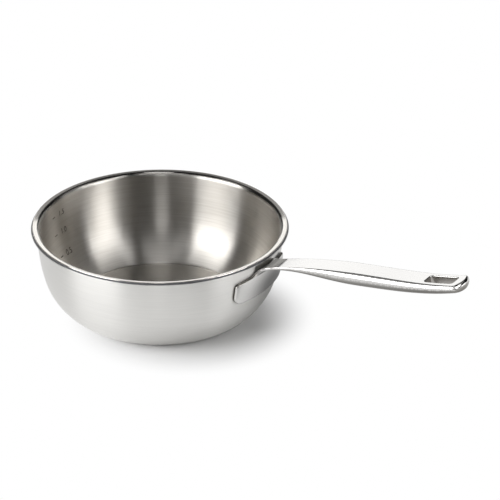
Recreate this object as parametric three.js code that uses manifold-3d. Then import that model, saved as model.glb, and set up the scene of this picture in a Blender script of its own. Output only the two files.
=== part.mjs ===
// A round-sided saute pan: a bowl of three-ply sheet with a pouring lip, and a cast handle whose
// foot plate is spot-welded to the wall. Millimetres, +Z up. The bowl turns about Z, its flat base
// stands on z = 0 and the handle points along +X.
import * as THREE from 'three';
import { mergeVertices } from 'three/addons/utils/BufferGeometryUtils.js';
import loadManifold from 'manifold-3d';

const wasm = await loadManifold();
wasm.setup();
const { degToRad, lerp, smoothstep } = THREE.MathUtils;

// Bowl, measured on its outside
const rimRadius = 104; // outer edge of the lip
const panHeight = 72.9; // table to the top of the lip
const kneeRadius = 10; // turn at the edge of the flat base
const kneeTurn = degToRad(33.5); // where the knee hands over to the corner
const cornerRadius = 52; // corner turning up into the side
const cornerTurn = degToRad(75.5); // where the corner hands over to the side
const sideRadius = 150; // slow curve of the side
const lipBend = 1.5; // curve under the lip
const lipFlange = 3.5; // lip beyond its bend
const lipRise = degToRad(7); // the lip still climbs by this much at its edge
const lipBevel = 1.3; // how far the trimmed edge leans in over the sheet's thickness
const outerSkin = 0.5; // magnetic stainless steel
const coreThickness = 1.2; // aluminium
const innerSkin = 0.5; // stainless steel
const bondLine = 0.02; // between layers

// Foot plate on the wall
const plateWidth = 72; // straight across, end to end
const plateHeight = 19.5; // lower edge to the shoulders, along the wall
const plateDrop = 33.7; // top of the lip down to the lower edge
const plateThickness = 2.5;
const plateCorner = 8; // radius of the lower corners
const shoulderCorner = 4; // radius of the upper corners
const shoulderRise = 1; // how far each shoulder climbs on its way to the neck
const seatGap = 0.3; // between plate and wall, bridged by the welds

// Neck
const bendDrop = 13.9; // top of the lip down to where the neck leaves the wall
const bendRadius = 7; // upper side of the bend
const neckFillet = 14; // shoulder into neck, seen flat
const neckWidth = 18.9;
const neckThickness = 2.7;
const neckSlope = 0.3; // climb per millimetre where the grip starts
const neckEase = 75; // how far that climb guides the grip's line

// Grip
const gripLength = 175; // edge of the lip to the far end
const gripRise = 23.1; // top of the far end above the lip
const endSlope = 0.268; // climb per millimetre at the far end
const endEase = 55; // how far that climb guides the grip's line
const waistReach = 7.5; // bend to where the grip begins to swell
const widestReach = 82; // bend to the widest place
const deepestReach = 88; // bend to the deepest place
const gripWidth = 24.8;
const gripDepth = 12;
const endWidth = 24.9;
const endDepth = 7.1;
const endCorner = 4; // radius of the end's corners, seen from above
const endRadius = 25; // bow of the end, seen from above
const shoulderDepth = 0.43; // of a section's depth that its upper edges round off
const shoulderReach = 0.27; // of a section's depth that they reach in

// Hanging slot
const slotLength = 25;
const slotWidth = 12.8;
const slotCorner = 2.5;
const slotInset = 8; // end of the handle to the slot

// Spot welds under the foot plate
const weldRadius = 3;
const weldColumns = 3;
const weldPitch = 22; // between columns, straight across
const weldMargin = 5.5; // rows in from the plate's lower edge and its shoulders

// Fineness of the facets
const bowlFacets = 60; // round the bowl
const kneeSteps = 2;
const cornerSteps = 4;
const sideSteps = 3;
const lipSteps = 3;
const ringPoints = 24; // round one section of the handle
const gripStations = 22;
const curveSteps = 5; // in each rounded corner of an outline
const weldFacets = 16;

// Section powers: high is nearly square, two is an ellipse
const squarePower = 6;
const bellyPower = 2.6;

// The wall's outside line, worked out once: flat base, knee, corner arc, side arc, bend under the lip,
// climbing flange.
const coreOutside = outerSkin + bondLine;
const coreInside = coreOutside + coreThickness;
const wallThickness = coreInside + bondLine + innerSkin;
const cornerCentreHeight = kneeRadius + (cornerRadius - kneeRadius) * Math.cos(kneeTurn);
const lipClimb = (lipFlange - lipBevel) * Math.tan(lipRise);
const lipCentreHeight = panHeight - lipClimb - (wallThickness + lipBend) / Math.cos(lipRise);
const sideCentreHeight = cornerCentreHeight + (sideRadius - cornerRadius) * Math.cos(cornerTurn);
const sideTopCos = (sideCentreHeight - lipCentreHeight) / (sideRadius + lipBend);
const sideTop = Math.acos(sideTopCos);
const sideCentre = rimRadius - lipFlange - (sideRadius + lipBend) * Math.sin(sideTop);
const cornerCentre = sideCentre + (sideRadius - cornerRadius) * Math.sin(cornerTurn);
const baseRadius = cornerCentre + (cornerRadius - kneeRadius) * Math.sin(kneeTurn);

// Outside radius of the wall's side at a height.
function wallRadius(height) {
  return sideCentre + Math.sqrt(sideRadius ** 2 - (sideCentreHeight - height) ** 2);
}

// Points of an arc in the (radius, height) plane, without its first point.
function arcPoints(x, y, radius, start, end, steps) {
  const arc = new THREE.EllipseCurve(x, y, radius, radius, start, end, end < start);
  return arc.getPoints(steps).slice(1);
}

// The bowl's profile from the axis to the edge of the lip, at a depth inside the sheet.
function bowlProfile(depth) {
  const quarter = Math.PI / 2;
  const kneeEnd = kneeTurn - quarter;
  const cornerEnd = cornerTurn - quarter;
  const lipCentre = rimRadius - lipFlange;
  const bend = arcPoints(
    lipCentre, lipCentreHeight, lipBend + depth, sideTop + quarter, quarter + lipRise, lipSteps);
  const lipStart = bend.at(-1);
  const edge = rimRadius - lipBevel * depth / wallThickness;
  return [
    new THREE.Vector2(0, depth),
    new THREE.Vector2(baseRadius, depth),
    ...arcPoints(baseRadius, kneeRadius, kneeRadius - depth, -quarter, kneeEnd, kneeSteps),
    ...arcPoints(cornerCentre, cornerCentreHeight, cornerRadius - depth, kneeEnd, cornerEnd, cornerSteps),
    ...arcPoints(sideCentre, sideCentreHeight, sideRadius - depth, cornerEnd, sideTop - quarter, sideSteps),
    ...bend,
    new THREE.Vector2(edge, lipStart.y + (edge - lipStart.x) * Math.tan(lipRise)),
  ];
}

// Turns a profile that starts and ends on the axis about Z.
function turned(points) {
  return new THREE.LatheGeometry(points, bowlFacets).rotateX(Math.PI / 2);
}

// One layer of the sheet, between two depths.
function plyGeometry(outside, inside) {
  return turned([...bowlProfile(outside), ...bowlProfile(inside).reverse()]);
}

// The handle's spine, in the (radius, height) plane: up the wall, round the bend, out along the grip's top.
const seatRadius = sideRadius + seatGap;
const plateStart = Math.acos((sideCentreHeight - (panHeight - plateDrop)) / seatRadius);
const bendStart = Math.acos((sideCentreHeight - (panHeight - bendDrop)) / seatRadius);
const bendEnd = Math.atan(neckSlope);

function handleSpine() {
  const quarter = Math.PI / 2;
  const climb = new THREE.EllipseCurve(
    sideCentre, sideCentreHeight, seatRadius, seatRadius, plateStart - quarter, bendStart - quarter);
  const leave = climb.getPoint(1);
  const bendX = leave.x + bendRadius * Math.sin(bendStart);
  const bendZ = leave.y - bendRadius * Math.cos(bendStart);
  const bend = new THREE.EllipseCurve(
    bendX, bendZ, bendRadius, bendRadius, bendStart + quarter, bendEnd + quarter, true);
  const from = bend.getPoint(1);
  const to = new THREE.Vector2(rimRadius + gripLength, panHeight + gripRise);
  const guide = new THREE.Vector2(from.x + neckEase, from.y + neckSlope * neckEase);
  const endGuide = new THREE.Vector2(to.x - endEase, to.y - endSlope * endEase);
  const spine = new THREE.CurvePath();
  spine.add(climb);
  spine.add(bend);
  spine.add(new THREE.CubicBezierCurve(from, guide, endGuide, to));
  return spine;
}

const spine = handleSpine();
const [bendFrom, gripFrom, spineLength] = spine.getCurveLengths();
const waist = gripFrom + waistReach;
const widest = gripFrom + widestReach;
const deepest = gripFrom + deepestReach;

// A size that swells from the neck to its peak and eases off towards the end.
function alongGrip(u, peak, neck, swell, end) {
  if (u < peak) return lerp(neck, swell, smoothstep(u, waist, peak));
  return lerp(swell, end, ((u - peak) / (spineLength - peak)) ** 2);
}

function halfWidth(u) {
  return alongGrip(u, widest, neckWidth, gripWidth, endWidth) / 2;
}

// Half the handle laid flat, as points of distance along the spine and half width.
function handleOutline() {
  const half = plateWidth / 2;
  const quarter = Math.PI / 2;
  const neckHalf = neckWidth / 2;
  const filletFrom = plateHeight + shoulderRise;
  const filletTo = filletFrom + neckFillet;
  const endHalf = halfWidth(spineLength - endCorner);
  const bowFrom = spineLength - endRadius;
  const cornerReach = endRadius - endCorner;
  const cornerHalf = endHalf - endCorner;
  const cornerLean = Math.asin(cornerHalf / cornerReach);
  const endFrom = bowFrom + cornerReach * Math.cos(cornerLean);
  const outline = new THREE.Path();
  outline.moveTo(0, half - plateCorner);
  outline.absarc(plateCorner, half - plateCorner, plateCorner, 2 * quarter, quarter, true);
  outline.absarc(plateHeight - shoulderCorner, half - shoulderCorner, shoulderCorner, quarter, 0, true);
  outline.absarc(filletTo, neckHalf + neckFillet, neckFillet, 2 * quarter, 3 * quarter, false);
  for (let i = 1; i < gripStations; i += 1) {
    const u = lerp(filletTo, endFrom, i / gripStations);
    outline.lineTo(u, halfWidth(u));
  }
  outline.absarc(endFrom, cornerHalf, endCorner, quarter, cornerLean, true);
  outline.absarc(bowFrom, 0, endRadius, cornerLean, cornerLean / curveSteps, true);
  return outline.getPoints(curveSteps);
}

// Height of a rounded section above its widest line, from 0 at the edges to 1 in the middle.
function crown(across, power) {
  return (1 - Math.abs(across) ** power) ** (1 / power);
}

// One section of the handle: flat with elliptic shoulders on its upper side, which faces the wall on the
// foot plate, and swelling to a boat-shaped underside on the grip. On the plate it bends round the bowl.
function handleRing(u, half) {
  const here = spine.getPoint(u / spineLength);
  const along = spine.getTangent(u / spineLength);
  const plateToNeck = smoothstep(u, bendFrom, waist);
  const thickness = lerp(plateThickness, neckThickness, plateToNeck);
  const depth = alongGrip(u, deepest, thickness, gripDepth, endDepth);
  const power = alongGrip(u, deepest, squarePower, bellyPower, bellyPower);
  const shoulder = shoulderDepth * depth;
  const flatHalf = half - shoulderReach * depth;
  const ring = [];
  for (let i = 0; i < ringPoints; i += 1) {
    const angle = 2 * Math.PI * i / ringPoints;
    const across = Math.cos(angle);
    const beyondFlat = Math.max(0, half * Math.abs(across) - flatHalf) / (half - flatHalf);
    const upper = shoulder * (crown(beyondFlat, 2) - 1);
    const under = -shoulder - (depth - shoulder) * crown(across, power);
    const out = Math.sin(angle) > 0 ? upper : under;
    const x = here.x - out * along.y;
    const y = half * across;
    const round = x - Math.sqrt(x ** 2 - y ** 2);
    ring.push(new THREE.Vector3(x - round * (1 - plateToNeck), y, here.y + out * along.x));
  }
  return ring;
}

// Skins a list of rings with triangles and closes both ends with a ladder between mirrored points.
function loft(rings) {
  const count = rings[0].length;
  const last = (rings.length - 1) * count;
  const triangles = [];
  for (let start = 0; start < last; start += count) {
    for (let i = 0; i < count; i += 1) {
      const a = start + i;
      const b = start + (i + 1) % count;
      triangles.push(a, b, a + count, b, b + count, a + count);
    }
  }
  for (let i = 0; i < count / 2; i += 1) {
    const [a, b, c, d] = [i, i + 1, count - i - 1, (count - i) % count];
    if (a !== d) triangles.push(a, d, b, last + a, last + b, last + d);
    if (b !== c) triangles.push(b, d, c, last + b, last + c, last + d);
  }
  const geometry = new THREE.BufferGeometry().setFromPoints(rings.flat());
  geometry.setIndex(triangles);
  return geometry;
}

// A closed three.js geometry as a solid that can be joined and cut.
function solid(geometry) {
  const bare = geometry.clone();
  bare.deleteAttribute('normal');
  bare.deleteAttribute('uv');
  const merged = mergeVertices(bare, 1e-4);
  const mesh = new wasm.Mesh({
    numProp: 3,
    vertProperties: new Float32Array(merged.getAttribute('position').array),
    triVerts: new Uint32Array(merged.index.array),
  });
  return new wasm.Manifold(mesh);
}

// A cut solid back as a three.js geometry.
function geometryOf(body) {
  const { vertProperties, triVerts } = body.getMesh();
  const geometry = new THREE.BufferGeometry();
  geometry.setAttribute('position', new THREE.BufferAttribute(vertProperties, 3));
  geometry.setIndex(new THREE.BufferAttribute(triVerts, 1));
  geometry.computeVertexNormals();
  return geometry;
}

// A rounded rectangle that cuts straight down through the grip near its end.
function slotCutter() {
  const far = rimRadius + gripLength - slotInset;
  const near = far - slotLength;
  const side = slotWidth / 2;
  const c = slotCorner;
  const outline = new THREE.Shape();
  outline.absarc(far - c, side - c, c, 0, Math.PI / 2, false);
  outline.absarc(near + c, side - c, c, Math.PI / 2, Math.PI, false);
  outline.absarc(near + c, c - side, c, Math.PI, 1.5 * Math.PI, false);
  outline.absarc(far - c, c - side, c, 1.5 * Math.PI, 2 * Math.PI, false);
  const reach = 2 * gripDepth;
  const bar = { depth: 2 * reach, bevelEnabled: false, curveSegments: curveSteps };
  return new THREE.ExtrudeGeometry(outline, bar).translate(0, 0, panHeight + gripRise - reach);
}

function handleSolid() {
  const rings = handleOutline().map((point) => handleRing(point.x, point.y));
  return solid(loft(rings)).subtract(solid(slotCutter()));
}

// A weld fills the seat gap between wall and plate inside a short round bar set square to the wall.
function weldGeometry(height, across, bowl, handle) {
  const radius = wallRadius(height);
  const turn = Math.asin(across / radius);
  const bar = new THREE.CylinderGeometry(weldRadius, weldRadius, plateThickness, weldFacets);
  bar.rotateZ(Math.PI / 2);
  bar.translate(radius + seatGap / 2, 0, height);
  bar.rotateZ(turn);
  return geometryOf(solid(bar).subtract(bowl).subtract(handle));
}

function steel(color, roughness) {
  return new THREE.MeshStandardMaterial({ color, roughness, metalness: 1 });
}

const satinInside = steel(0x9c968c, 0.32);
const satinOutside = steel(0xc6c4c0, 0.3);
const millAluminium = steel(0xcfd1d3, 0.45);
const polishedCasting = steel(0xd9d7d3, 0.12);
const weldSteel = steel(0x8e8a85, 0.5);

const pan = new THREE.Group();
pan.name = 'saute_pan';

function addPiece(name, geometry, material) {
  const mesh = new THREE.Mesh(geometry, material);
  mesh.name = name;
  pan.add(mesh);
}

addPiece('outer_steel_ply', plyGeometry(0, outerSkin), satinOutside);
addPiece('aluminium_core', plyGeometry(coreOutside, coreInside), millAluminium);
addPiece('inner_steel_ply', plyGeometry(coreInside + bondLine, wallThickness), satinInside);

const handle = handleSolid();
addPiece('cast_handle', geometryOf(handle), polishedCasting);

const bowl = solid(turned([...bowlProfile(0), new THREE.Vector2(0, panHeight)]));
const plateBottom = panHeight - plateDrop;
const weldRows = [plateBottom + weldMargin, plateBottom + plateHeight - weldMargin];
let weldNumber = 0;
for (const height of weldRows) {
  for (let column = 0; column < weldColumns; column += 1) {
    const across = weldPitch * (column - (weldColumns - 1) / 2);
    weldNumber += 1;
    addPiece(`weld_spot_${weldNumber}`, weldGeometry(height, across, bowl, handle), weldSteel);
  }
}

export default pan;
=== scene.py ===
"""Looks of a round-sided saute pan: smooth turned skins, a polished cast handle, etched litre marks,
a white floor and soft studio light. Sizes are in millimetres and become metres when a mesh is made."""
import bmesh
import bpy
import numpy as np
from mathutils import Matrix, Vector


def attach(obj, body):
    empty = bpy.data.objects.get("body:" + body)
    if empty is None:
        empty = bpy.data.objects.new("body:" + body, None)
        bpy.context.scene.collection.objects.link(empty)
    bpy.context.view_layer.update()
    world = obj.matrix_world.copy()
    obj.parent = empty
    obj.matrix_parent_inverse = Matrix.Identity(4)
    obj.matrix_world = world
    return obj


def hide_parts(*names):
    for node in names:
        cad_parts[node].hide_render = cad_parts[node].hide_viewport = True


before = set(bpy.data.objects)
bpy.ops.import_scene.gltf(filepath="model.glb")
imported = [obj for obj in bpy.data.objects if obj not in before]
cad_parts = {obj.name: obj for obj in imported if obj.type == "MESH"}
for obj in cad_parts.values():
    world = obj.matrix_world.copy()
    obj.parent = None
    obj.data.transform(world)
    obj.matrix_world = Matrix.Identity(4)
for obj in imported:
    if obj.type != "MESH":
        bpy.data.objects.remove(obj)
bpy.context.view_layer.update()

MM = 0.001
QUARTER = np.pi / 2

# Bowl
RIM_RADIUS = 104.0
PAN_HEIGHT = 72.9
KNEE_RADIUS = 10.0
KNEE_TURN = np.radians(33.5)
CORNER_RADIUS = 52.0
CORNER_TURN = np.radians(75.5)
SIDE_RADIUS = 150.0
LIP_BEND = 1.5
LIP_FLANGE = 3.5
LIP_RISE = np.radians(7)  # the lip still climbs by this angle at its edge
LIP_BEVEL = 1.3           # the trimmed edge leans in by this much over the sheet's thickness
EDGE_ROUND = 0.3          # rounding of the lip's upper edge
OUTER_SKIN = 0.5
CORE = 1.2
INNER_SKIN = 0.5
BOND = 0.02
CORE_OUT = OUTER_SKIN + BOND
CORE_IN = CORE_OUT + CORE
WALL = CORE_IN + BOND + INNER_SKIN
LIP_CENTRE = RIM_RADIUS - LIP_FLANGE
LIP_CLIMB = (LIP_FLANGE - LIP_BEVEL) * np.tan(LIP_RISE)
LIP_HEIGHT = PAN_HEIGHT - LIP_CLIMB - (WALL + LIP_BEND) / np.cos(LIP_RISE)
CORNER_HEIGHT = KNEE_RADIUS + (CORNER_RADIUS - KNEE_RADIUS) * np.cos(KNEE_TURN)
SIDE_HEIGHT = CORNER_HEIGHT + (SIDE_RADIUS - CORNER_RADIUS) * np.cos(CORNER_TURN)
SIDE_TOP = np.arccos((SIDE_HEIGHT - LIP_HEIGHT) / (SIDE_RADIUS + LIP_BEND))
SIDE_CENTRE = LIP_CENTRE - (SIDE_RADIUS + LIP_BEND) * np.sin(SIDE_TOP)
CORNER_CENTRE = SIDE_CENTRE + (SIDE_RADIUS - CORNER_RADIUS) * np.sin(CORNER_TURN)
BASE_RADIUS = CORNER_CENTRE + (CORNER_RADIUS - KNEE_RADIUS) * np.sin(KNEE_TURN)

# Handle
PLATE_WIDTH = 72.0
PLATE_HEIGHT = 19.5
PLATE_DROP = 33.7
PLATE_THICKNESS = 2.5
PLATE_CORNER = 8.0
SHOULDER_CORNER = 4.0
SHOULDER_RISE = 1.0
SEAT_GAP = 0.3
BEND_DROP = 13.9
BEND_RADIUS = 7.0
NECK_FILLET = 14.0
NECK_WIDTH = 18.9
NECK_THICKNESS = 2.7
NECK_SLOPE = 0.3
NECK_EASE = 75.0
GRIP_LENGTH = 175.0
GRIP_RISE = 23.1
END_SLOPE = 0.268
END_EASE = 55.0
WAIST_REACH = 7.5
WIDEST_REACH = 82.0
DEEPEST_REACH = 88.0
GRIP_WIDTH = 24.8
GRIP_DEPTH = 12.0
END_WIDTH = 24.9
END_DEPTH = 7.1
END_CORNER = 4.0
END_RADIUS = 25.0
SHOULDER_DEPTH = 0.43     # of a section's depth that its upper edges round off
SHOULDER_REACH = 0.27     # of a section's depth that they reach in
PLATE_EDGE = 1.0          # rounding of the plate's face along its edge
END_EDGE = 1.6            # rounding under the grip's end
SLOT_LENGTH = 25.0
SLOT_WIDTH = 12.8
SLOT_CORNER = 2.5
SLOT_INSET = 8.0
SLOT_EDGE = 0.6           # rounding of the slot's edges
SLOT_COLLAR = 1.2         # ring of fine faces round the slot
SQUARE_POWER = 6.0
BELLY_POWER = 2.6
SPINE_STEPS = 500         # points on the spine's climb, and again on its bend
NO_EDGE = 99.0            # a distance from an edge that no rounding reaches

# Finish and painted shade of the handle: 1 is buffed and bright, 0 is satin and painted dark as shade, -1 is as cast,
# in a grey that is painted shade
SIDE_DULL_AND_SHADE = 0.4           # polish that the grip's side lacks at its widest line, where its colour is darkened as painted shade
BELLY_FROM = 0.36         # of a section's depth where the rest of the polish starts to fade and painted shade deepens
BELLY_TO = 0.86           # and where it is gone
END_DULL_AND_SHADE = 0.5            # share of the polish that the underside loses towards its end, its colour painted darker as shade
END_DULL_AND_SHADE_FROM = 70.0      # distance from the end where that loss starts
END_DULL_AND_SHADE_TO = 25.0        # and where it is complete
DULL_SHADED_EDGE = 0.8           # width of the satin edge along the plate's top, painted dark as the shade under the lip
DULL_SHADED_EDGE_FULL = 0.4      # width over which it has no polish at all
DULL_SHADED_EDGE_RISE = 5.0      # height over which that edge begins on the plate's ends

# Litre marks: number, and height of its tick above the stove
LITRES = (("0.5", 25.0), ("1.0", 43.1), ("1.5", 58.7))
NUMBER_HEIGHT = 4.6
NUMBER_TURN = 179.0       # degrees round the bowl from the handle
TICK_TURN = 186.2
TICK_HALF_LENGTH = 2.2
TICK_HALF_WIDTH = 0.4
MARK_LIFT = 0.06          # the marks stand off the wall by this much
CAPITAL_SHARE = 0.7       # of the font's size that its capitals are high


def linear(code):
    """An sRGB hex colour as linear red, green, blue and alpha."""
    c = np.array([int(code[i:i + 2], 16) for i in (1, 3, 5)]) / 255
    c = np.where(c <= 0.04045, c / 12.92, ((c + 0.055) / 1.055) ** 2.4)
    return (*c.tolist(), 1.0)


def smoothstep(x, low, high):
    """0 below low, 1 above high, and 3t^2 - 2t^3 between."""
    t = np.clip((x - low) / (high - low), 0, 1)
    return t * t * (3 - 2 * t)


def arc(x, z, radius, start, end, steps):
    """Centre plus radius times the cosine and sine of angles that run evenly from start to end."""
    a = np.linspace(start, end, steps)
    return np.column_stack([x + radius * np.cos(a), z + radius * np.sin(a)])


def between(a, b, steps):
    """Points that run evenly from a to b."""
    return np.linspace(a, b, steps)


# Materials

def node(tree, kind, links=None, **settings):
    """Adds a node; settings are its properties or, by input name or number, its values; links feed its inputs."""
    made = tree.nodes.new(kind)
    for key, value in settings.pop("inputs", {}).items():
        made.inputs[key].default_value = value
    for key, value in settings.items():
        setattr(made, key, value)
    for key, source in (links or {}).items():
        tree.links.new(source, made.inputs[key])
    return made


def new_material(name):
    """An empty node material and its Principled shader."""
    material = bpy.data.materials.new(name)
    material.use_nodes = True
    return material, material.node_tree, material.node_tree.nodes["Principled BSDF"]


def satin_steel(name, dark, light, rough, grain, smear, base_rough, lip_rough):
    """18/10 stainless steel brushed round the bowl: fine rings that smear every reflection up and down the wall,
    a level base with its own finish and a lip that is buffed bright."""
    material, tree, shader = new_material(name)
    brush = node(tree, "ShaderNodeAttribute", attribute_name="brush")
    # grit lines are some 0.1 mm apart, drawn at about 1 mm so that they show
    rings = node(tree, "ShaderNodeMapping", {"Vector": brush.outputs["Vector"]}, inputs={"Scale": (2.5, 2.5, 1.0)})
    grit = node(tree, "ShaderNodeTexNoise", {"Vector": rings.outputs["Vector"]},
                inputs={"Scale": 1.0, "Detail": 3.0, "Roughness": 0.6})
    tone = node(tree, "ShaderNodeMapRange", {"Value": grit.outputs["Fac"]},
                inputs={"From Min": 0.3, "From Max": 0.7, "To Min": 0.0, "To Max": 1.0})
    colour = node(tree, "ShaderNodeMix", {0: tone.outputs["Result"]}, data_type="RGBA",
                  inputs={6: linear(dark), 7: linear(light)})
    place = node(tree, "ShaderNodeTexCoord")
    height = node(tree, "ShaderNodeSeparateXYZ", {0: place.outputs["Object"]})
    satin = node(tree, "ShaderNodeMapRange", {"Value": grit.outputs["Fac"]},
                 inputs={"From Min": 0.3, "From Max": 0.7, "To Min": rough - grain, "To Max": rough + grain})
    base = node(tree, "ShaderNodeMapRange", {"Value": height.outputs["Z"], "To Max": satin.outputs["Result"]},
                inputs={"From Min": (WALL + 0.2) * MM, "From Max": (WALL + 1.2) * MM, "To Min": base_rough})
    buffed = node(tree, "ShaderNodeMapRange", {"Value": height.outputs["Z"], "To Min": base.outputs["Result"]},
                  inputs={"From Min": (LIP_HEIGHT + 2) * MM, "From Max": (LIP_HEIGHT + 3.4) * MM, "To Max": lip_rough})
    round_axis = node(tree, "ShaderNodeTangent", direction_type="RADIAL", axis="Z")
    shader.inputs["Metallic"].default_value = 1.0
    shader.inputs["Anisotropic"].default_value = smear
    shader.inputs["Anisotropic Rotation"].default_value = 0.25
    tree.links.new(colour.outputs[2], shader.inputs["Base Color"])
    tree.links.new(buffed.outputs["Result"], shader.inputs["Roughness"])
    tree.links.new(round_axis.outputs["Tangent"], shader.inputs["Tangent"])
    return material


def polished_casting():
    """Stainless steel investment casting, ground and buffed along its length: a near mirror with faint long lines
    above; satin underneath and along the plate's upper edge, where the colour is darkened as painted shade; dull as
    cast inside the slot, in a darker grey that is painted shade in the recess."""
    material, tree, shader = new_material("polished_cast_steel")
    place = node(tree, "ShaderNodeTexCoord")
    # buffing lines about 1 mm apart and 25 mm long
    lines = node(tree, "ShaderNodeMapping", {"Vector": place.outputs["Object"]}, inputs={"Scale": (40, 1000, 1000)})
    buff = node(tree, "ShaderNodeTexNoise", {"Vector": lines.outputs["Vector"]},
                inputs={"Scale": 1.0, "Detail": 2.0})
    bright = node(tree, "ShaderNodeMapRange", {"Value": buff.outputs["Fac"]},
                  inputs={"From Min": 0.3, "From Max": 0.7, "To Min": 0.11, "To Max": 0.15})
    polish_and_shade = node(tree, "ShaderNodeAttribute", attribute_name="polish_and_shade")
    # 1 gives buffed steel; 0 gives satin steel in a dark colour that is painted shade; -1 gives the slot's dull wall
    # in a mid grey that is painted shade
    satin = node(tree, "ShaderNodeMix", {0: polish_and_shade.outputs["Fac"]}, data_type="RGBA",
                 inputs={6: linear("#75726d"), 7: linear("#d1d0ce")})
    cast = node(tree, "ShaderNodeMapRange", {"Value": polish_and_shade.outputs["Fac"]},
                inputs={"From Min": -1.0, "From Max": 0.0})
    colour = node(tree, "ShaderNodeMix", {0: cast.outputs["Result"], 7: satin.outputs[2]}, data_type="RGBA",
                  inputs={6: linear("#aaa7a3")})
    rough = node(tree, "ShaderNodeMapRange", {"Value": polish_and_shade.outputs["Fac"], "To Max": bright.outputs["Result"]},
                 inputs={"From Min": 0.0, "From Max": 1.0, "To Min": 0.3})
    shader.inputs["Metallic"].default_value = 1.0
    tree.links.new(colour.outputs[2], shader.inputs["Base Color"])
    tree.links.new(rough.outputs["Result"], shader.inputs["Roughness"])
    return material


def cut_aluminium():
    """The sheet's core where it was trimmed at the lip: dull grey aluminium, painted darker still as the shade along
    the lip's trimmed edge.
    """
    material, tree, shader = new_material("trimmed_aluminium")
    brush = node(tree, "ShaderNodeAttribute", attribute_name="brush")
    spread = node(tree, "ShaderNodeMapping", {"Vector": brush.outputs["Vector"]}, inputs={"Scale": (60, 60, 4)})
    bloom = node(tree, "ShaderNodeTexNoise", {"Vector": spread.outputs["Vector"]}, inputs={"Scale": 1.0})
    colour = node(tree, "ShaderNodeMix", {0: bloom.outputs["Fac"]}, data_type="RGBA",
                  inputs={6: linear("#5c5c5f"), 7: linear("#747477")})
    shader.inputs["Metallic"].default_value = 1.0
    shader.inputs["Roughness"].default_value = 0.5
    tree.links.new(colour.outputs[2], shader.inputs["Base Color"])
    return material


def etched_steel():
    """Steel blackened by electrolytic marking: matt dark brown grey."""
    material, tree, shader = new_material("etched_mark")
    place = node(tree, "ShaderNodeTexCoord")
    bite = node(tree, "ShaderNodeTexNoise", {"Vector": place.outputs["Object"]}, inputs={"Scale": 900.0})
    colour = node(tree, "ShaderNodeMix", {0: bite.outputs["Fac"]}, data_type="RGBA",
                  inputs={6: linear("#2b2723"), 7: linear("#4a443d")})
    shader.inputs["Metallic"].default_value = 0.5
    shader.inputs["Roughness"].default_value = 0.55
    tree.links.new(colour.outputs[2], shader.inputs["Base Color"])
    return material


def weld_steel():
    """Steel left as the spot welder leaves it: grey, rough, with straw-coloured heat tint."""
    material, tree, shader = new_material("spot_weld_steel")
    place = node(tree, "ShaderNodeTexCoord")
    tint = node(tree, "ShaderNodeTexNoise", {"Vector": place.outputs["Object"]}, inputs={"Scale": 400.0})
    colour = node(tree, "ShaderNodeMix", {0: tint.outputs["Fac"]}, data_type="RGBA",
                  inputs={6: linear("#7d7a76"), 7: linear("#98897a")})
    shader.inputs["Metallic"].default_value = 1.0
    shader.inputs["Roughness"].default_value = 0.5
    tree.links.new(colour.outputs[2], shader.inputs["Base Color"])
    return material


# Meshes

def finish_piece(piece, material, slot, *nodes):
    """Gives a piece its material, smooth faces and its body, and hides the solids that it stands for. Its slot, a
    finish's name, is not used.
    """
    piece.data.materials.append(material)
    piece.data.shade_smooth()
    bpy.context.scene.collection.objects.link(piece)
    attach(piece, "root")
    if nodes:
        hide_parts(*nodes)
    return piece


def turned(name, line, steps=288):
    """A line of (radius, height) turned about Z. Its ends lie on the axis and become single points. Each point keeps
    its direction from the axis and its distance along the line for the brushing."""
    turn = np.linspace(0, 2 * np.pi, steps, endpoint=False)
    middle = line[1:-1]
    rows = len(middle)
    ring = np.stack(np.broadcast_arrays(middle[:, :1] * np.cos(turn), middle[:, :1] * np.sin(turn), middle[:, 1:]), -1)
    points = np.vstack([ring.reshape(-1, 3), [[0, 0, line[0, 1]], [0, 0, line[-1, 1]]]])
    index = np.arange(rows * steps).reshape(rows, steps)
    beside = np.roll(index, -1, axis=1)
    quads = np.stack([index[:-1], beside[:-1], beside[1:], index[1:]], -1).reshape(-1, 4)
    first = np.column_stack([np.full(steps, rows * steps), beside[0], index[0]])
    last = np.column_stack([np.full(steps, rows * steps + 1), index[-1], beside[-1]])
    mesh = bpy.data.meshes.new(name)
    mesh.from_pydata((points * MM).tolist(), [], quads.tolist() + first.tolist() + last.tolist())
    length = np.concatenate([[0], np.cumsum(np.hypot(*np.diff(line, axis=0).T))])
    along = np.repeat(length[1:-1], steps)
    brush = np.column_stack([np.tile(np.cos(turn), rows), np.tile(np.sin(turn), rows), along])
    brush = np.vstack([brush, [[0, 0, length[0]], [0, 0, length[-1]]]])
    mesh.attributes.new("brush", "FLOAT_VECTOR", "POINT").data.foreach_set("vector", brush.ravel())
    return bpy.data.objects.new(name, mesh)


def wall_line(depth):
    """The bowl's line at a depth inside the sheet, from the axis: level base, knee, corner, slow side arc, bend."""
    return np.vstack([
        between((0, depth), (BASE_RADIUS, depth), 24)[:-1],
        arc(BASE_RADIUS, KNEE_RADIUS, KNEE_RADIUS - depth, -QUARTER, KNEE_TURN - QUARTER, 14)[:-1],
        arc(CORNER_CENTRE, CORNER_HEIGHT, CORNER_RADIUS - depth, KNEE_TURN - QUARTER, CORNER_TURN - QUARTER, 42)[:-1],
        arc(SIDE_CENTRE, SIDE_HEIGHT, SIDE_RADIUS - depth, CORNER_TURN - QUARTER, SIDE_TOP - QUARTER, 28)[:-1],
        arc(LIP_CENTRE, LIP_HEIGHT, LIP_BEND + depth, SIDE_TOP + QUARTER, QUARTER + LIP_RISE, 16)[:-1]])


def lip_line(depth, edge):
    """The lip at a depth inside the sheet: straight on from its bend, climbing, to the radius of its edge."""
    bend = LIP_BEND + depth
    start = np.array([LIP_CENTRE - bend * np.sin(LIP_RISE), LIP_HEIGHT + bend * np.cos(LIP_RISE)])
    reach = edge - start[0]
    return between(start, start + reach * np.array([1, np.tan(LIP_RISE)]), 9)


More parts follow.
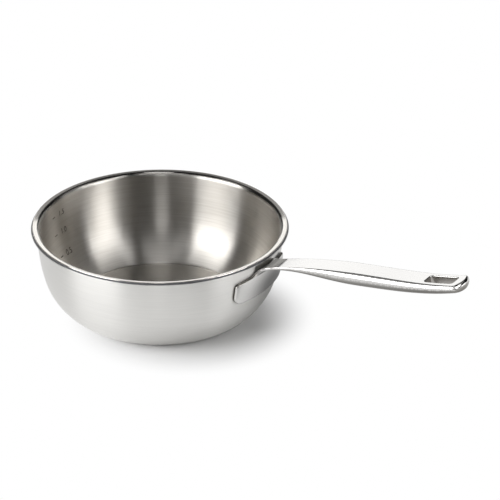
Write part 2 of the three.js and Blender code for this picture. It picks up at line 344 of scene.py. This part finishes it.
def ply(name, outside, inside, round_edge=0.0):
    """One layer of the sheet: out along one depth, over the bevelled edge with a rounding of its upper corner, back
    along the other."""
    low = lip_line(outside, RIM_RADIUS - LIP_BEVEL * outside / WALL)
    high = lip_line(inside, RIM_RADIUS - LIP_BEVEL * inside / WALL - round_edge)
    over = [arc(high[-1, 0], high[-1, 1] - round_edge, round_edge, 0, QUARTER, 7)[:-1]] if round_edge else []
    return turned(name, np.vstack([wall_line(outside), low, *over, high[::-1], wall_line(inside)[::-1]]))


def inside_radius(height):
    """Radius of the inside wall at a height: corner arc low down, side arc above it."""
    low = CORNER_CENTRE + np.sqrt(np.clip((CORNER_RADIUS - WALL) ** 2 - (CORNER_HEIGHT - height) ** 2, 0, None))
    high = SIDE_CENTRE + np.sqrt((SIDE_RADIUS - WALL) ** 2 - (SIDE_HEIGHT - height) ** 2)
    join = CORNER_HEIGHT - (CORNER_RADIUS - WALL) * np.cos(CORNER_TURN)
    return np.where(height < join, low, high)


def handle_spine():
    """The handle's upper line, seen from the side: an arc up the wall, a bend, a cubic curve along the grip."""
    seat = SIDE_RADIUS + SEAT_GAP
    start = np.arccos((SIDE_HEIGHT - PAN_HEIGHT + PLATE_DROP) / seat)
    leave = np.arccos((SIDE_HEIGHT - PAN_HEIGHT + BEND_DROP) / seat)
    climb = arc(SIDE_CENTRE, SIDE_HEIGHT, seat, start - QUARTER, leave - QUARTER, SPINE_STEPS)
    centre = climb[-1] + BEND_RADIUS * np.array([np.sin(leave), -np.cos(leave)])
    bend = arc(*centre, BEND_RADIUS, leave + QUARTER, np.arctan(NECK_SLOPE) + QUARTER, SPINE_STEPS)
    a = bend[-1]
    d = np.array([RIM_RADIUS + GRIP_LENGTH, PAN_HEIGHT + GRIP_RISE])
    b = a + NECK_EASE * np.array([1, NECK_SLOPE])
    c = d - END_EASE * np.array([1, END_SLOPE])
    t = np.linspace(0, 1, 6 * SPINE_STEPS)[:, None]
    grip = (1 - t) ** 3 * a + 3 * (1 - t) ** 2 * t * b + 3 * (1 - t) * t ** 2 * c + t ** 3 * d
    line = np.vstack([climb, bend[1:], grip[1:]])
    along = np.concatenate([[0], np.cumsum(np.hypot(*np.diff(line, axis=0).T))])
    heading = np.gradient(line, along, axis=0)
    heading /= np.hypot(*heading.T)[:, None]
    return line, along, heading, along[SPINE_STEPS - 1], along[2 * SPINE_STEPS - 2]


SPINE, SPINE_AT, SPINE_HEADING, BEND_FROM, GRIP_FROM = handle_spine()
SPINE_LENGTH = SPINE_AT[-1]
WAIST = GRIP_FROM + WAIST_REACH
WIDEST = GRIP_FROM + WIDEST_REACH
DEEPEST = GRIP_FROM + DEEPEST_REACH


def along_grip(u, peak, neck, swell, end):
    """A size that swells smoothly from the neck to its peak and then changes with the square of the distance."""
    rise = neck + (swell - neck) * smoothstep(u, WAIST, peak)
    fall = swell + (end - swell) * ((u - peak) / (SPINE_LENGTH - peak)) ** 2
    return np.where(u < peak, rise, fall)


def half_width(u):
    """Half the grip's width."""
    return along_grip(u, WIDEST, NECK_WIDTH, GRIP_WIDTH, END_WIDTH) / 2


def slot_edge(near, far, offset):
    """Half of the slot's outline, or of a line at an offset outside it, from its near end round to its far end."""
    side = SLOT_WIDTH / 2 - SLOT_CORNER
    bend = SLOT_CORNER + offset
    return np.vstack([
        between((near - offset, 0), (near - offset, side), 14)[:-1],
        arc(near + SLOT_CORNER, side, bend, np.pi, QUARTER, 12)[:-1],
        between((near + SLOT_CORNER, side + bend), (far - SLOT_CORNER, side + bend), 24)[:-1],
        arc(far - SLOT_CORNER, side, bend, QUARTER, 0, 12)[:-1],
        between((far + offset, side), (far + offset, 0), 14)])


def handle_grid():
    """Half the handle laid flat: an outer curve (its outline) and an inner curve (its middle line, and a collar
    round the slot), stretch by stretch with as many points on both, and the slot's two ends."""
    half = PLATE_WIDTH / 2
    neck_half = NECK_WIDTH / 2
    fillet_from = PLATE_HEIGHT + SHOULDER_RISE
    fillet_to = fillet_from + NECK_FILLET
    far, near = np.interp(RIM_RADIUS + GRIP_LENGTH - SLOT_INSET - np.array([0, SLOT_LENGTH]),
                          SPINE[2 * SPINE_STEPS:, 0], SPINE_AT[2 * SPINE_STEPS:])
    end_half = half_width(SPINE_LENGTH - END_CORNER)
    bow = SPINE_LENGTH - END_RADIUS
    corner_y = end_half - END_CORNER
    lean = np.arcsin(corner_y / (END_RADIUS - END_CORNER))
    corner_u = bow + (END_RADIUS - END_CORNER) * np.cos(lean)

    def grip(start, end, steps):
        u = np.linspace(start, end, steps)
        return np.column_stack([u, half_width(u)])

    def middle(start, end, steps):
        return between((start, 0), (end, 0), steps)

    beside_slot = np.vstack([grip(near - 14, near - 3, 14)[:-1], grip(near - 3, near + 3, 12)[:-1],
                             grip(near + 3, far - 3, 24)[:-1], grip(far - 3, corner_u, 12)[:-1],
                             arc(corner_u, corner_y, END_CORNER, QUARTER, lean, 14)])
    stretches = [
        (between((0, 0), (0, half - PLATE_CORNER), 44), middle(4, 8, 44)),
        (arc(PLATE_CORNER, half - PLATE_CORNER, PLATE_CORNER, np.pi, QUARTER, 26), middle(8, 9, 26)),
        (between((PLATE_CORNER, half), (PLATE_HEIGHT - SHOULDER_CORNER, half), 16), middle(9, 11, 16)),
        (arc(PLATE_HEIGHT - SHOULDER_CORNER, half - SHOULDER_CORNER, SHOULDER_CORNER, QUARTER, 0, 24),
         middle(11, 12.5, 24)),
        (between((PLATE_HEIGHT, half - SHOULDER_CORNER), (fillet_from, neck_half + NECK_FILLET), 28),
         middle(12.5, 17, 28)),
        (arc(fillet_to, neck_half + NECK_FILLET, NECK_FILLET, np.pi, 3 * QUARTER, 90), middle(17, fillet_to, 90)),
        (grip(fillet_to, near - 14, 160), middle(fillet_to, near - SLOT_COLLAR, 160)),
        (beside_slot, slot_edge(near, far, SLOT_COLLAR)),
        (arc(bow, 0, END_RADIUS, lean, 0, 30), middle(far + SLOT_COLLAR, SPINE_LENGTH - 4.5, 30)),
    ]
    outer = np.vstack([stretches[0][0][:1]] + [s[0][1:] for s in stretches])
    inner = np.vstack([stretches[0][1][:1]] + [s[1][1:] for s in stretches])
    return outer, inner, near, far


def round_over(distance, radius):
    """Height lost by a quarter-round edge: the radius at the edge itself, none from one radius inwards."""
    short = np.clip(radius - distance, 0, radius)
    return radius - np.sqrt(radius ** 2 - short ** 2)


def handle_point(u, y, out):
    """From flat to its place: along the spine, off it by out, and on the plate bent round the bowl."""
    x = np.interp(u, SPINE_AT, SPINE[:, 0]) - out * np.interp(u, SPINE_AT, SPINE_HEADING[:, 1])
    z = np.interp(u, SPINE_AT, SPINE[:, 1]) + out * np.interp(u, SPINE_AT, SPINE_HEADING[:, 0])
    to_neck = smoothstep(u, BEND_FROM, WAIST)
    x = x - (x - np.sqrt(x ** 2 - y ** 2)) * (1 - to_neck)
    return np.stack([x, y, z], -1)


def handle_depth(u):
    """Depth of the handle's section."""
    to_neck = smoothstep(u, BEND_FROM, WAIST)
    thickness = PLATE_THICKNESS + (NECK_THICKNESS - PLATE_THICKNESS) * to_neck
    return along_grip(u, DEEPEST, thickness, GRIP_DEPTH, END_DEPTH)


def handle_skins(flat, outer, from_edge, from_slot):
    """Upper and lower skins over flat points. The upper one is the spine's surface with elliptic shoulders along the
    outline and a rounding at the slot. The lower one lies a depth below it: a slab with a round edge on the plate, a
    superellipse on the grip."""
    u, y = flat[..., 0], np.maximum(flat[..., 1], 0)
    widest = np.maximum.accumulate(outer[:, 0]) + 1e-6 * np.arange(len(outer))
    across = np.clip(y / np.maximum(np.interp(u, widest, outer[:, 1]), 1e-6), 0, 1)
    across = np.where(from_edge == 0, 1, across)
    to_neck = smoothstep(u, BEND_FROM, WAIST)
    depth = handle_depth(u)
    power = along_grip(u, DEEPEST, SQUARE_POWER, BELLY_POWER, BELLY_POWER)
    boat = (1 - across ** power) ** (1 / power)
    slab = 1 - round_over(from_edge, PLATE_EDGE) / PLATE_EDGE
    end = SPINE_LENGTH - END_RADIUS + np.sqrt(np.clip(END_RADIUS ** 2 - y ** 2, 0, None))
    from_end = np.where(u > DEEPEST, np.maximum(end - u, 0), END_EDGE)
    belly = (slab + (boat - slab) * to_neck) * (1 - round_over(from_end, END_EDGE) / END_EDGE)
    slot_round = round_over(from_slot, SLOT_EDGE)
    shoulder = SHOULDER_DEPTH * depth
    upper = -shoulder * round_over(from_edge / (SHOULDER_REACH * depth), 1.0) - slot_round
    under = -shoulder - (depth - shoulder) * belly + slot_round
    return handle_point(u, y, upper), handle_point(u, y, under)


def handle_mesh(name):
    """The handle's two skins over a flat grid that runs from the outline in to the middle line, over a collar of
    rings round the slot, and the slot's wall between them; the other half mirrors the first."""
    outer, inner, near, far = handle_grid()
    tangent = np.gradient(outer, axis=0)
    tangent /= np.hypot(*tangent.T)[:, None]
    inward = np.column_stack([tangent[:, 1], -tangent[:, 0]])
    inward[0] = (1, 0)
    inward[-1] = (-1, 0)
    rim = (1 - np.cos(np.linspace(0, QUARTER, 15)))[None] * SHOULDER_REACH * handle_depth(outer[:, :1])
    edge = outer[:, None] + rim[..., None] * inward[:, None]
    share = np.linspace(0, 1, 14)[1:, None]
    field = edge[:, -1:] * (1 - share) + inner[:, None] * share
    flat = np.concatenate([edge, field], axis=1)
    from_edge = np.concatenate([rim, np.full((len(rim), len(share)), NO_EDGE)], axis=1)
    rings = np.array([SLOT_COLLAR, 0.9, 0.65, 0.45, 0.3, 0.17, 0.07, 0.02, 0])
    collar = np.stack([slot_edge(near, far, ring) for ring in rings], axis=1)
    top, low = handle_skins(flat, outer, from_edge, np.full(flat.shape[:2], NO_EDGE))
    collar_edge = np.full(collar.shape[:2], NO_EDGE)
    collar_top, collar_low = handle_skins(collar, outer, collar_edge, np.broadcast_to(rings, collar.shape[:2]))
    drop = np.linspace(0, 1, 6)[:, None]
    slot_wall = collar_top[:, -1:] * (1 - drop) + collar_low[:, -1:] * drop

    # under the grip the polish fades and painted shade darkens the colour towards the bottom and the end; the plate's
    # back has no polish, and its upper edge has none and is painted dark as shade
    u = flat[..., 0]
    grip = smoothstep(u, BEND_FROM, WAIST + 20)
    sunk = np.clip((np.interp(u, SPINE_AT, SPINE[:, 1]) - low[..., 2]) / handle_depth(u), 0, 1)
    under = 1 - grip * (SIDE_DULL_AND_SHADE + (1 - SIDE_DULL_AND_SHADE) * smoothstep(sunk, BELLY_FROM, BELLY_TO))
    under *= 1 - END_DULL_AND_SHADE * smoothstep(u, SPINE_LENGTH - END_DULL_AND_SHADE_FROM, SPINE_LENGTH - END_DULL_AND_SHADE_TO)
    past_bend = smoothstep(u, BEND_FROM, GRIP_FROM)
    edge_dull_and_shade = smoothstep(u, PLATE_HEIGHT - DULL_SHADED_EDGE_RISE, PLATE_HEIGHT) * (1 - past_bend)
    under *= 1 - edge_dull_and_shade * (1 - smoothstep(from_edge, DULL_SHADED_EDGE_FULL, DULL_SHADED_EDGE))
    # the slot's wall takes -1: dull as cast, in a grey painted as the shade inside the slot
    polish_and_shade = [past_bend, under, np.ones(collar_top.shape[:2]), np.zeros(collar_low.shape[:2]),
              np.full(slot_wall.shape[:2], -1.0)]
    points, faces, shine_and_shade = np.empty((0, 3)), np.empty((0, 4), int), np.empty(0)
    for patch, value in zip((top, low, collar_top, collar_low, slot_wall), polish_and_shade):
        for side in (1, -1):
            shine_and_shade = np.append(shine_and_shade, value)
            index = len(points) + np.arange(patch.shape[0] * patch.shape[1]).reshape(patch.shape[:2])
            loop = [index[:-1, :-1], index[:-1, 1:], index[1:, 1:], index[1:, :-1]]
            faces = np.vstack([faces, np.stack(loop, -1).reshape(-1, 4)])
            points = np.vstack([points, patch.reshape(-1, 3) * [1, side, 1]])
    mesh = bpy.data.meshes.new(name)
    mesh.from_pydata((points * MM).tolist(), [], faces.tolist())
    mesh.attributes.new("polish_and_shade", "FLOAT", "POINT").data.foreach_set("value", shine_and_shade)
    work = bmesh.new()
    work.from_mesh(mesh)
    bmesh.ops.remove_doubles(work, verts=work.verts, dist=2e-6)
    bmesh.ops.recalc_face_normals(work, faces=work.faces)
    work.to_mesh(mesh)
    work.free()
    return bpy.data.objects.new(name, mesh)


def text_points(words, height):
    """A flat number in Blender's own plain font as points and faces, its capital height in millimetres."""
    curve = bpy.data.curves.new("number", "FONT")
    curve.body = words
    curve.align_x = "CENTER"
    curve.align_y = "CENTER"
    curve.resolution_u = 6
    holder = bpy.data.objects.new("number", curve)
    bpy.context.scene.collection.objects.link(holder)
    mesh = bpy.data.meshes.new_from_object(holder.evaluated_get(bpy.context.evaluated_depsgraph_get()))
    points = np.empty(3 * len(mesh.vertices))
    mesh.vertices.foreach_get("co", points)
    faces = [list(p.vertices) for p in mesh.polygons]
    bpy.data.objects.remove(holder)
    bpy.data.meshes.remove(mesh)
    return points.reshape(-1, 3)[:, :2] * height / CAPITAL_SHARE, faces


def litre_marks(name):
    """Ticks and numbers laid on the inside wall opposite the handle: across becomes an angle round the bowl, up
    becomes height, and the radius is the wall's less a hair."""
    points, faces = [], []
    count = 0
    tick = np.array([(-1, -1), (1, -1), (1, 1), (-1, 1)]) * [TICK_HALF_LENGTH, TICK_HALF_WIDTH]
    for words, height in LITRES:
        flat, loops = text_points(words, NUMBER_HEIGHT)
        for shape, shape_faces, turn in ((flat, loops, NUMBER_TURN), (tick, [[0, 1, 2, 3]], TICK_TURN)):
            z = height + shape[:, 1]
            r = inside_radius(z) - MARK_LIFT
            angle = np.radians(turn) - shape[:, 0] / r
            points.append(np.column_stack([r * np.cos(angle), r * np.sin(angle), z]))
            faces += [[count + i for i in loop] for loop in shape_faces]
            count += len(shape)
    mesh = bpy.data.meshes.new(name)
    mesh.from_pydata((np.vstack(points) * MM).tolist(), [], faces)
    return bpy.data.objects.new(name, mesh)


satin_outside = satin_steel("satin_stainless_outside", "#dad9d6", "#dfdedb", rough=0.36, grain=0.006, smear=0.9,
                            base_rough=0.32, lip_rough=0.16)
satin_inside = satin_steel("satin_stainless_inside", "#cdc9c3", "#dad7d2", rough=0.33, grain=0.015, smear=1.0,
                           base_rough=0.24, lip_rough=0.12)
casting = polished_casting()

finish_piece(ply("outer_skin", 0, OUTER_SKIN), satin_outside, "satin_outside", "outer_steel_ply")
finish_piece(ply("aluminium_layer", CORE_OUT, CORE_IN), cut_aluminium(), "aluminium_layer", "aluminium_core")
finish_piece(ply("inner_skin", CORE_IN + BOND, WALL, EDGE_ROUND), satin_inside, "satin_inside", "inner_steel_ply")
handle = finish_piece(handle_mesh("buffed_handle"), casting, "polished_casting", "cast_handle")
finish_piece(litre_marks("litre_marks"), etched_steel(), "satin_inside")

welds = weld_steel()
for k in range(1, 7):
    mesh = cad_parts[f"weld_spot_{k}"].data
    mesh.materials.clear()
    mesh.materials.append(welds)


# Stage

# Camera: where the lip's ellipse in the photograph puts it
HEADING = np.radians(31.0)
PITCH = np.radians(26.7746)
AWAY = 34.88925767 * RIM_RADIUS
ACROSS = -0.69859118 * RIM_RADIUS
UP = 0.18855583 * RIM_RADIUS
ELLIPSE_HEIGHT = 72.0     # height of the lip's line that was followed
FOCAL_PIXELS = 4500       # focal length in pixels of a picture this wide
PICTURE_PIXELS = 500
SENSOR = 36


def from_view(across, away, up):
    """A point given by the view: metres to its right, away from the eye along the floor, and up."""
    return Vector((across * np.cos(HEADING) - away * np.sin(HEADING),
                   across * np.sin(HEADING) + away * np.cos(HEADING), up))


FLOOR_HALF = 20.0
FLOOR_LIFT = 0.00005      # over the base's own plane, so that the base from below mirrors the room and not the floor
SHADOW_MIDDLE = (0.024, -0.02)
SHADOW_FULL = 0.052       # radius round that middle where the floor is seen as it is lit
SHADOW_END = 0.104        # radius from which it is plain white
# dim places on the floor as metal mirrors them: across, away, radius that is dimmed in full, radius where it ends,
# brightness left
SHADES = ((0.11, 0.01, 0.025, 0.10, 0.2), (0.22, 0.27, 0.08, 0.18, 0.2), (0.14, -0.15, 0.03, 0.10, 0.65))


def floor_material():
    """White studio floor: it takes the pan's shadow, and further out it is plain white for the eye and, but for the
    shades, in metal. From below it is clear."""
    material, tree, shader = new_material("white_floor")
    shader.inputs["Base Color"].default_value = linear("#dddddd")
    shader.inputs["Roughness"].default_value = 0.9
    shader.inputs["Specular IOR Level"].default_value = 0.0
    path = node(tree, "ShaderNodeLightPath")
    seen = node(tree, "ShaderNodeMath", {0: path.outputs["Is Camera Ray"], 1: path.outputs["Is Glossy Ray"]},
                operation="MAXIMUM")
    place = node(tree, "ShaderNodeTexCoord")
    reach = node(tree, "ShaderNodeVectorMath", {0: place.outputs["Object"]}, operation="DISTANCE",
                 inputs={1: tuple(from_view(*SHADOW_MIDDLE, 0))})
    far = node(tree, "ShaderNodeMapRange", {"Value": reach.outputs["Value"]}, interpolation_type="SMOOTHSTEP",
               inputs={"From Min": SHADOW_FULL, "From Max": SHADOW_END})
    share = node(tree, "ShaderNodeMath", {0: seen.outputs[0], 1: far.outputs[0]}, operation="MULTIPLY")
    strength = path.outputs["Is Glossy Ray"]
    for across, away, full, none, left in SHADES:
        beside = node(tree, "ShaderNodeVectorMath", {0: place.outputs["Object"]}, operation="DISTANCE",
                      inputs={1: tuple(from_view(across, away, 0))})
        dim = node(tree, "ShaderNodeMapRange", {"Value": beside.outputs["Value"]}, interpolation_type="SMOOTHSTEP",
                   inputs={"From Min": full, "From Max": none, "To Min": left, "To Max": 1.0})
        strength = node(tree, "ShaderNodeMath", {0: strength, 1: dim.outputs[0]}, operation="MULTIPLY").outputs[0]
    bright = node(tree, "ShaderNodeMath", {0: path.outputs["Is Camera Ray"], 1: strength}, operation="MAXIMUM")
    white = node(tree, "ShaderNodeEmission", {"Strength": bright.outputs[0]})
    above = node(tree, "ShaderNodeMixShader", {0: share.outputs[0], 1: shader.outputs[0], 2: white.outputs[0]})
    side = node(tree, "ShaderNodeNewGeometry")
    clear = node(tree, "ShaderNodeBsdfTransparent")
    whole = node(tree, "ShaderNodeMixShader",
                 {0: side.outputs["Backfacing"], 1: above.outputs[0], 2: clear.outputs[0]})
    tree.links.new(whole.outputs[0], tree.nodes["Material Output"].inputs["Surface"])
    return material


floor_mesh = bpy.data.meshes.new("studio_floor")
corners = np.array([(-1, -1, 1), (1, -1, 1), (1, 1, 1), (-1, 1, 1)]) * [FLOOR_HALF, FLOOR_HALF, FLOOR_LIFT]
floor_mesh.from_pydata(corners.tolist(), [], [(0, 1, 2, 3)])
floor = bpy.data.objects.new("studio_floor", floor_mesh)
floor_mesh.materials.append(floor_material())
bpy.context.scene.collection.objects.link(floor)

eye = from_view(-ACROSS * MM, (-UP * np.sin(PITCH) - AWAY * np.cos(PITCH)) * MM,
                (ELLIPSE_HEIGHT - UP * np.cos(PITCH) + AWAY * np.sin(PITCH)) * MM)
look = from_view(0, np.cos(PITCH), -np.sin(PITCH))
camera = bpy.data.objects.new("camera", bpy.data.cameras.new("camera"))
camera.data.sensor_width = SENSOR
camera.data.lens = FOCAL_PIXELS / PICTURE_PIXELS * SENSOR
camera.data.clip_end = 50
camera.location = eye
camera.rotation_euler = look.to_track_quat("-Z", "Y").to_euler()
bpy.context.scene.collection.objects.link(camera)
bpy.context.scene.camera = camera


LAMP_REACH = 1.7          # metres from the pan's middle
PAN_MIDDLE = from_view(0, 0, 0.05)
# as the pan sees each lamp: its bearings from the eye's side with left positive, its elevations, its brightness
LAMPS = {
    "left_low_strip": (34, 82, 1, 9, 5.0),
    "left_front_strip": (12, 34, 1, 9, 1.2),
    "left_softbox": (34, 82, 18, 28, 5.8),
    "left_high_softbox": (40, 90, 28, 42, 6.0),
    "left_top_panel": (24, 56, 42, 60, 1.0),
    "left_side_panel": (82, 128, 46, 64, 0.5),
    "left_back_strip": (130, 168, 1, 12, 0.35),
    "right_low_panel": (-66, -51, 9, 18, 5.8),
    "right_softbox": (-82, -44, 18, 28, 5.2),
    "right_high_softbox": (-92, -51, 28, 42, 2.0),
    "right_top_panel": (-58, -44, 42, 60, 2.8),
    "right_side_strip": (-106, -82, 1, 9, 2.4),
    "right_side_panel": (-130, -94, 34, 56, 0.3),
    "right_back_strip": (-168, -130, 1, 12, 0.45),
    "back_sweep": (168, 192, 9, 28, 1.45),
    "back_high_sweep": (168, 192, 28, 38, 0.33),
    "front_strip": (-5, 7, 12, 20, 3.8),
    "front_top_panel": (-34, 34, 60, 74, 1.4),
    "overhead_panel": (150, 210, 74, 90, 1.3),
}


def softbox(name, first, last, low, high, brightness):
    """A soft area lamp that fills the given bearings and elevations, in degrees, as the pan sees it."""
    bearing, elevation, half_wide, half_tall = np.radians([first + last, low + high, last - first, high - low]) / 2
    level = LAMP_REACH * np.cos(elevation)
    lamp = bpy.data.lights.new(name, "AREA")
    lamp.shape = "RECTANGLE"
    lamp.size = 2 * level * np.tan(half_wide)
    lamp.size_y = 2 * LAMP_REACH * np.tan(half_tall)
    lamp.energy = brightness * np.pi * lamp.size * lamp.size_y
    holder = bpy.data.objects.new(name, lamp)
    offset = from_view(-level * np.sin(bearing), -level * np.cos(bearing), LAMP_REACH * np.sin(elevation))
    holder.location = PAN_MIDDLE + offset
    holder.rotation_euler = (-offset).to_track_quat("-Z", "Y").to_euler()
    bpy.context.scene.collection.objects.link(holder)
    return holder


for name, panel in LAMPS.items():
    softbox(name, *panel)
# the handle alone also sees a panel over the camera, which keeps its top bright from behind
handle_only = bpy.data.collections.new("handle_only")
handle_only.objects.link(handle)
softbox("handle_fill", -60, 60, 14, 60, 0.7).light_linking.receiver_collection = handle_only

# the room is dark, white where the eye looks past the floor, and grey below the floor for a look at the base
ROOM_GLOW = 0.01
BELOW_GLOW = 0.5
world = bpy.data.worlds.new("studio")
world.use_nodes = True
room = world.node_tree
toward = node(room, "ShaderNodeSeparateXYZ", {0: node(room, "ShaderNodeTexCoord").outputs["Generated"]})
below = node(room, "ShaderNodeMapRange", {"Value": toward.outputs["Z"]},
             inputs={"From Min": -0.01, "From Max": 0.0, "To Min": BELOW_GLOW, "To Max": ROOM_GLOW})
path = node(room, "ShaderNodeLightPath")
glow = node(room, "ShaderNodeMath", {0: below.outputs[0], 1: path.outputs["Is Camera Ray"]}, operation="MAXIMUM")
room.nodes["Background"].inputs["Color"].default_value = (1, 1, 1, 1)
room.links.new(glow.outputs[0], room.nodes["Background"].inputs["Strength"])
bpy.context.scene.world = world
bpy.context.scene.view_settings.view_transform = "Standard"
